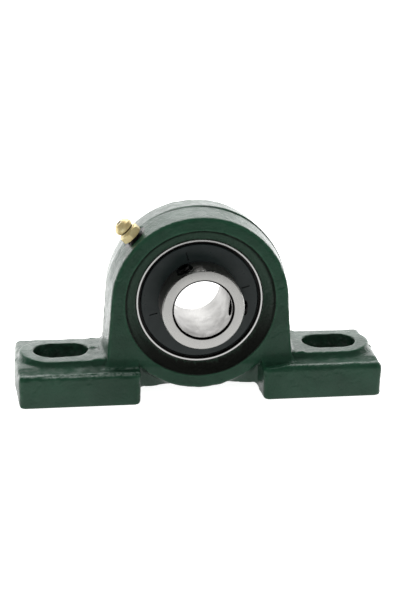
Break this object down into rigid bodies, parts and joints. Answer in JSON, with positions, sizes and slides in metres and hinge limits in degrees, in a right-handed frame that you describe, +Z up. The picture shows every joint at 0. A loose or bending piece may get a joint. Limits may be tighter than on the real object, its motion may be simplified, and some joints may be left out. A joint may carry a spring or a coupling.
{
  "type": "pillow block bearing",
  "caption": "Self-aligning sealed ball bearing insert with set-screw locking in a cast pillow block with slotted feet and a grease nipple.",
  "frame": {"origin": "middle of the base plane, straight below the centre of the bearing", "axes": "+X along the base through both bolt slots, +Y along the shaft towards the narrow side of the inner ring, so the set-screw side faces -Y, +Z up from the base to the shaft"},
  "size_m": [0.127, 0.038, 0.065],
  "materials": {
    "painted_iron": "cast surface, dark green paint",
    "ring_steel": "ground",
    "pressed_steel": "pressed",
    "seal_rubber": "moulded",
    "black_steel": "stamped steel, semi-gloss black",
    "screw_steel": "black oxide",
    "nipple_brass": "satin, yellow",
    "ball_steel": "polished",
    "spring_steel": "drawn wire"
  },
  "bodies": {
    "housing": {"housing": "painted_iron", "nipple_body": "nipple_brass", "nipple_spring": "spring_steel"},
    "outer_ring": {"outer_ring": "ring_steel", "front_seal_core": "pressed_steel", "back_seal_core": "pressed_steel", "front_seal_rubber": "seal_rubber", "back_seal_rubber": "seal_rubber"},
    "inner_ring": {"inner_ring": "ring_steel", "front_flinger": "black_steel", "back_flinger": "black_steel"},
    "cage": {"cage_front": "pressed_steel", "cage_back": "pressed_steel", "cage_rivets": "pressed_steel"},
    "set_screw_1": {"set_screw_1": "screw_steel"},
    "set_screw_2": {"set_screw_2": "screw_steel"},
    "nipple_ball": {"nipple_ball": "ball_steel"},
    "ball_1": {"ball_1": "ball_steel"},
    "ball_2": {"ball_2": "ball_steel"},
    "ball_3": {"ball_3": "ball_steel"},
    "ball_4": {"ball_4": "ball_steel"},
    "ball_5": {"ball_5": "ball_steel"},
    "ball_6": {"ball_6": "ball_steel"},
    "ball_7": {"ball_7": "ball_steel"},
    "ball_8": {"ball_8": "ball_steel"}
  },
  "joints": [
    {"name": "insert_align", "type": "hinge", "parent": "housing", "child": "outer_ring", "pos_m": [0, 0, 0.0333], "axis": [1, 0, 0], "range_deg": [-2.5, 2.5]},
    {"name": "inner_ring_spin", "type": "hinge", "parent": "outer_ring", "child": "inner_ring", "pos_m": [0, 0, 0.0333], "axis": [0, -1, 0], "continuous": true},
    {"name": "cage_spin", "type": "hinge", "parent": "outer_ring", "child": "cage", "pos_m": [0, 0, 0.0333], "axis": [0, -1, 0], "continuous": true},
    {"name": "nipple_check_ball", "type": "slide", "parent": "housing", "child": "nipple_ball", "axis": [-0.7071, 0, 0.7071], "range_m": [-0.0008, 0], "stiffness_N_per_m": 400, "springref_m": 0.001, "deforming": ["nipple_spring"]},
    {"name": "ball_1_spin", "type": "hinge", "parent": "cage", "child": "ball_1", "pos_m": [0, 0, 0.05005], "axis": [0, -1, 0], "continuous": true},
    {"name": "ball_2_spin", "type": "hinge", "parent": "cage", "child": "ball_2", "pos_m": [-0.01184, 0, 0.04514], "axis": [0, -1, 0], "continuous": true},
    {"name": "ball_3_spin", "type": "hinge", "parent": "cage", "child": "ball_3", "pos_m": [-0.01675, 0, 0.0333], "axis": [0, -1, 0], "continuous": true},
    {"name": "ball_4_spin", "type": "hinge", "parent": "cage", "child": "ball_4", "pos_m": [-0.01184, 0, 0.02146], "axis": [0, -1, 0], "continuous": true},
    {"name": "ball_5_spin", "type": "hinge", "parent": "cage", "child": "ball_5", "pos_m": [0, 0, 0.01655], "axis": [0, -1, 0], "continuous": true},
    {"name": "ball_6_spin", "type": "hinge", "parent": "cage", "child": "ball_6", "pos_m": [0.01184, 0, 0.02146], "axis": [0, -1, 0], "continuous": true},
    {"name": "ball_7_spin", "type": "hinge", "parent": "cage", "child": "ball_7", "pos_m": [0.01675, 0, 0.0333], "axis": [0, -1, 0], "continuous": true},
    {"name": "ball_8_spin", "type": "hinge", "parent": "cage", "child": "ball_8", "pos_m": [0.01184, 0, 0.04514], "axis": [0, -1, 0], "continuous": true},
    {"name": "set_screw_1_travel", "type": "slide", "parent": "inner_ring", "child": "set_screw_1", "axis": [0.9962, 0, -0.0872], "range_m": [-0.00045, 0.003]},
    {"name": "set_screw_2_travel", "type": "slide", "parent": "inner_ring", "child": "set_screw_2", "axis": [-0.4226, 0, 0.9063], "range_m": [-0.00045, 0.003]}
  ],
  "couplings": [
    {"joint": "cage_spin", "follows": "inner_ring_spin", "ratio": 0.38152},
    {"joint": "ball_1_spin", "follows": "inner_ring_spin", "ratio": -1.9916},
    {"joint": "ball_2_spin", "follows": "inner_ring_spin", "ratio": -1.9916},
    {"joint": "ball_3_spin", "follows": "inner_ring_spin", "ratio": -1.9916},
    {"joint": "ball_4_spin", "follows": "inner_ring_spin", "ratio": -1.9916},
    {"joint": "ball_5_spin", "follows": "inner_ring_spin", "ratio": -1.9916},
    {"joint": "ball_6_spin", "follows": "inner_ring_spin", "ratio": -1.9916},
    {"joint": "ball_7_spin", "follows": "inner_ring_spin", "ratio": -1.9916},
    {"joint": "ball_8_spin", "follows": "inner_ring_spin", "ratio": -1.9916}
  ]
}
